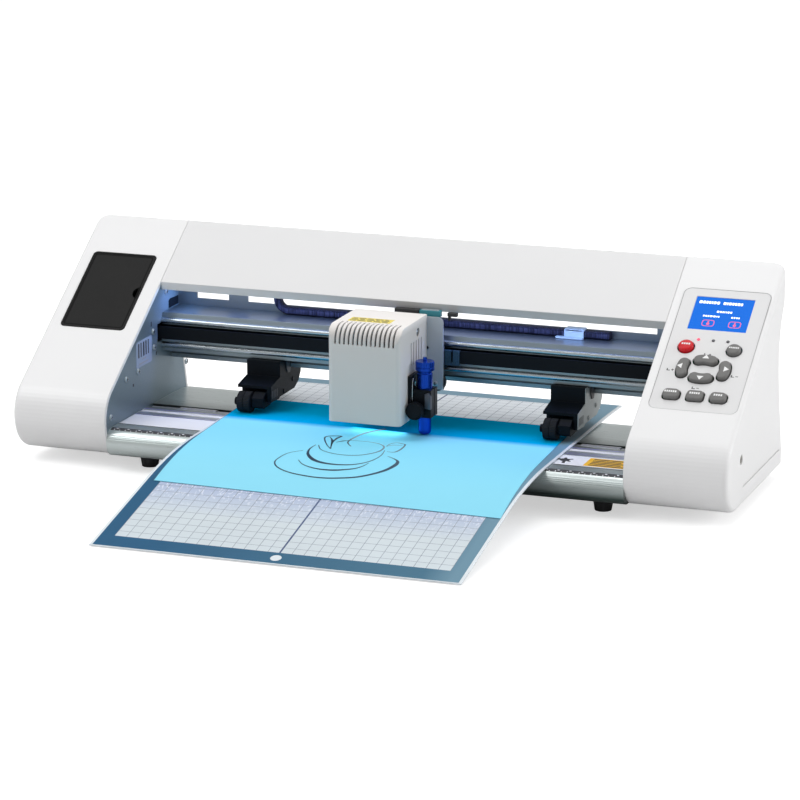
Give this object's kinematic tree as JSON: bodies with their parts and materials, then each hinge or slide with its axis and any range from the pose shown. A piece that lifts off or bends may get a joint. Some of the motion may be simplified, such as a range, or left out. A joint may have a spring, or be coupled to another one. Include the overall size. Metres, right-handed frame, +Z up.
{
  "type": "vinyl cutter",
  "caption": "Desktop roll and sheet vinyl cutter with a sliding cutting head, grit roller feed, pinch rollers, keypad with display, and a mat and sheet loaded.",
  "frame": {"origin": "on the table under the middle of the machine with its mat loaded", "axes": "+X along the carriage travel to the control panel side, +Y to the rear, +Z up"},
  "size_m": [0.626, 0.4336, 0.182],
  "materials": {
    "housing_white": "satin moulded ABS",
    "plate_metal": "bare sheet steel",
    "beam_alu": "satin extrusion",
    "rod_steel": "ground steel",
    "strip_cream": "matte",
    "foot_rubber": "matte",
    "panel_grey": "satin membrane",
    "lcd_blue": "lit screen",
    "board_green": "solder mask",
    "supply_metal": "satin",
    "socket_black": "moulded",
    "rocker_red": "moulded",
    "key_red": "silicone rubber",
    "key_grey": "silicone rubber",
    "tray_black": "gloss",
    "motor_dark": "satin",
    "pulley_alu": "machined",
    "belt_rubber": "toothed belt",
    "roller_steel": "gritted",
    "carriage_black": "anodised",
    "shoe_plastic": "acetal",
    "clip_steel": "stamped",
    "head_grey": "fine texture",
    "head_back_grey": "satin",
    "clamp_black": "moulded",
    "holder_blue": "blue anodised",
    "blade_steel": "ground",
    "pinch_black": "moulded",
    "wheel_rubber": "matte",
    "sleeve_black": "braided",
    "mat_blue": "printed sheet",
    "vinyl_cyan": "satin film"
  },
  "bodies": {
    "root": {"left_housing": "housing_white", "right_housing": "housing_white", "left_side_plate": "plate_metal", "right_side_plate": "plate_metal", "top_cover": "housing_white", "beam": "beam_alu", "guide_rods": "rod_steel", "cable_rail": "beam_alu", "platen": "beam_alu", "cutting_strip": "strip_cream", "rubber_feet": "foot_rubber", "control_panel": "panel_grey", "display": "lcd_blue", "circuit_boards": "board_green", "power_supply": "supply_metal", "rear_sockets": "socket_black", "storage_tray": "tray_black", "carriage_motor": "motor_dark", "belt_brackets": "plate_metal", "carriage_belt": "belt_rubber", "feed_motor": "motor_dark", "feed_belt": "belt_rubber", "roller_bearings": "rod_steel", "cable_sleeve": "sleeve_black", "screws": "rod_steel"},
    "carriage": {"carriage_plate": "carriage_black", "guide_shoes": "shoe_plastic", "belt_clamps": "clip_steel", "head_cover": "head_grey", "head_back": "head_back_grey", "lift_motor": "motor_dark", "cable_loop": "sleeve_black"},
    "tool_lift": {"holder_clamp": "clamp_black", "blade_holder": "holder_blue"},
    "clamp_knob": {"clamp_knob": "clamp_black"},
    "depth_cap": {"depth_cap": "holder_blue"},
    "blade": {"blade": "blade_steel"},
    "media": {"cutting_mat": "mat_blue", "vinyl_sheet": "vinyl_cyan"},
    "grit_roller": {"grit_roller": "roller_steel"},
    "feed_pulley": {"feed_pulley": "pulley_alu"},
    "drive_pulley": {"drive_pulley": "pulley_alu"},
    "idler_pulley": {"idler_pulley": "pulley_alu"},
    "tray_lid": {"tray_lid": "tray_black"},
    "power_rocker": {"power_rocker": "rocker_red"},
    "pinch_block_left": {"pinch_block_left": "pinch_black"},
    "pinch_arm_left": {"pinch_arm_left": "pinch_black"},
    "pinch_wheel_left": {"pinch_wheel_left": "wheel_rubber"},
    "pinch_block_right": {"pinch_block_right": "pinch_black"},
    "pinch_arm_right": {"pinch_arm_right": "pinch_black"},
    "pinch_wheel_right": {"pinch_wheel_right": "wheel_rubber"},
    "reset_key": {"reset_key": "key_red"},
    "origin_key": {"origin_key": "key_grey"},
    "up_key": {"up_key": "key_grey"},
    "left_key": {"left_key": "key_grey"},
    "right_key": {"right_key": "key_grey"},
    "down_key": {"down_key": "key_grey"},
    "mode_key": {"mode_key": "key_grey"},
    "setup_key": {"setup_key": "key_grey"},
    "test_key": {"test_key": "key_grey"}
  },
  "joints": [
    {"name": "carriage_slide", "type": "slide", "parent": "root", "child": "carriage", "axis": [1, 0, 0], "range_m": [-0.17, 0.172], "deforming": ["cable_loop", "cable_sleeve"]},
    {"name": "tool_lift_slide", "type": "slide", "parent": "carriage", "child": "tool_lift", "axis": [0, 0, 1], "range_m": [0, 0.006]},
    {"name": "knob_turn", "type": "hinge", "parent": "tool_lift", "child": "clamp_knob", "pos_m": [0.0296, 0.04435, 0.0622], "axis": [0, 1, 0], "range_deg": [0, 540]},
    {"name": "depth_turn", "type": "hinge", "parent": "tool_lift", "child": "depth_cap", "pos_m": [0.0327, 0.06085, 0.0975], "axis": [0, 0, 1], "range_deg": [0, 360]},
    {"name": "blade_swivel", "type": "hinge", "parent": "tool_lift", "child": "blade", "pos_m": [0.0327, 0.06085, 0.06], "axis": [0, 0, 1], "continuous": true},
    {"name": "media_feed", "type": "slide", "parent": "root", "child": "media", "axis": [0, -1, 0], "range_m": [-0.01, 0.04]},
    {"name": "grit_roller_turn", "type": "hinge", "parent": "root", "child": "grit_roller", "pos_m": [0, 0.08035, 0.02775], "axis": [1, 0, 0], "range_deg": [-60, 250]},
    {"name": "feed_pulley_turn", "type": "hinge", "parent": "root", "child": "feed_pulley", "pos_m": [-0.245, 0.12935, 0.037], "axis": [1, 0, 0], "range_deg": [-125, 505]},
    {"name": "drive_pulley_turn", "type": "hinge", "parent": "root", "child": "drive_pulley", "pos_m": [0.252, 0.1127, 0.096], "axis": [0, 0, 1], "range_deg": [-1135, 1147]},
    {"name": "idler_pulley_turn", "type": "hinge", "parent": "root", "child": "idler_pulley", "pos_m": [-0.252, 0.1127, 0.096], "axis": [0, 0, 1], "range_deg": [-1135, 1147]},
    {"name": "pinch_slide_left", "type": "slide", "parent": "root", "child": "pinch_block_left", "axis": [1, 0, 0], "range_m": [-0.075, 0.1]},
    {"name": "pinch_lift_left", "type": "hinge", "parent": "pinch_block_left", "child": "pinch_arm_left", "pos_m": [-0.13, 0.11235, 0.051], "axis": [1, 0, 0], "range_deg": [-3.5, 0]},
    {"name": "pinch_wheel_turn_left", "type": "hinge", "parent": "pinch_arm_left", "child": "pinch_wheel_left", "pos_m": [-0.1375, 0.08035, 0.0474], "axis": [1, 0, 0], "range_deg": [-255, 65]},
    {"name": "pinch_slide_right", "type": "slide", "parent": "root", "child": "pinch_block_right", "axis": [1, 0, 0], "range_m": [-0.1, 0.06]},
    {"name": "pinch_lift_right", "type": "hinge", "parent": "pinch_block_right", "child": "pinch_arm_right", "pos_m": [0.1445, 0.11235, 0.051], "axis": [1, 0, 0], "range_deg": [-3.5, 0]},
    {"name": "pinch_wheel_turn_right", "type": "hinge", "parent": "pinch_arm_right", "child": "pinch_wheel_right", "pos_m": [0.137, 0.08035, 0.0474], "axis": [1, 0, 0], "range_deg": [-255, 65]},
    {"name": "tray_lid_hinge", "type": "hinge", "parent": "root", "child": "tray_lid", "pos_m": [-0.2961, 0.0959, 0.13089], "axis": [0, -0.8316, -0.5554], "range_deg": [0, 105]},
    {"name": "power_rocker_tilt", "type": "hinge", "parent": "root", "child": "power_rocker", "pos_m": [-0.256, 0.1624, 0.03353], "axis": [1, 0, 0], "range_deg": [0, 14]},
    {"name": "reset_press", "type": "slide", "parent": "root", "child": "reset_key", "axis": [0, 0.5554, -0.8316], "range_m": [0, 0.001], "stiffness_N_per_m": 400, "springref_m": -0.0008},
    {"name": "origin_press", "type": "slide", "parent": "root", "child": "origin_key", "axis": [0, 0.5554, -0.8316], "range_m": [0, 0.001], "stiffness_N_per_m": 400, "springref_m": -0.0008},
    {"name": "up_press", "type": "slide", "parent": "root", "child": "up_key", "axis": [0, 0.5554, -0.8316], "range_m": [0, 0.001], "stiffness_N_per_m": 400, "springref_m": -0.0008},
    {"name": "left_press", "type": "slide", "parent": "root", "child": "left_key", "axis": [0, 0.5554, -0.8316], "range_m": [0, 0.001], "stiffness_N_per_m": 400, "springref_m": -0.0008},
    {"name": "right_press", "type": "slide", "parent": "root", "child": "right_key", "axis": [0, 0.5554, -0.8316], "range_m": [0, 0.001], "stiffness_N_per_m": 400, "springref_m": -0.0008},
    {"name": "down_press", "type": "slide", "parent": "root", "child": "down_key", "axis": [0, 0.5554, -0.8316], "range_m": [0, 0.001], "stiffness_N_per_m": 400, "springref_m": -0.0008},
    {"name": "mode_press", "type": "slide", "parent": "root", "child": "mode_key", "axis": [0, 0.5554, -0.8316], "range_m": [0, 0.001], "stiffness_N_per_m": 400, "springref_m": -0.0008},
    {"name": "setup_press", "type": "slide", "parent": "root", "child": "setup_key", "axis": [0, 0.5554, -0.8316], "range_m": [0, 0.001], "stiffness_N_per_m": 400, "springref_m": -0.0008},
    {"name": "test_press", "type": "slide", "parent": "root", "child": "test_key", "axis": [0, 0.5554, -0.8316], "range_m": [0, 0.001], "stiffness_N_per_m": 400, "springref_m": -0.0008}
  ],
  "couplings": [
    {"joint": "media_feed", "follows": "grit_roller_turn", "m_per_rad": 0.009},
    {"joint": "feed_pulley_turn", "follows": "grit_roller_turn", "ratio": 2},
    {"joint": "drive_pulley_turn", "follows": "carriage_slide", "rad_per_m": 116.28},
    {"joint": "idler_pulley_turn", "follows": "carriage_slide", "rad_per_m": 116.28},
    {"joint": "pinch_wheel_turn_left", "follows": "grit_roller_turn", "ratio": -1},
    {"joint": "pinch_wheel_turn_right", "follows": "grit_roller_turn", "ratio": -1}
  ]
}
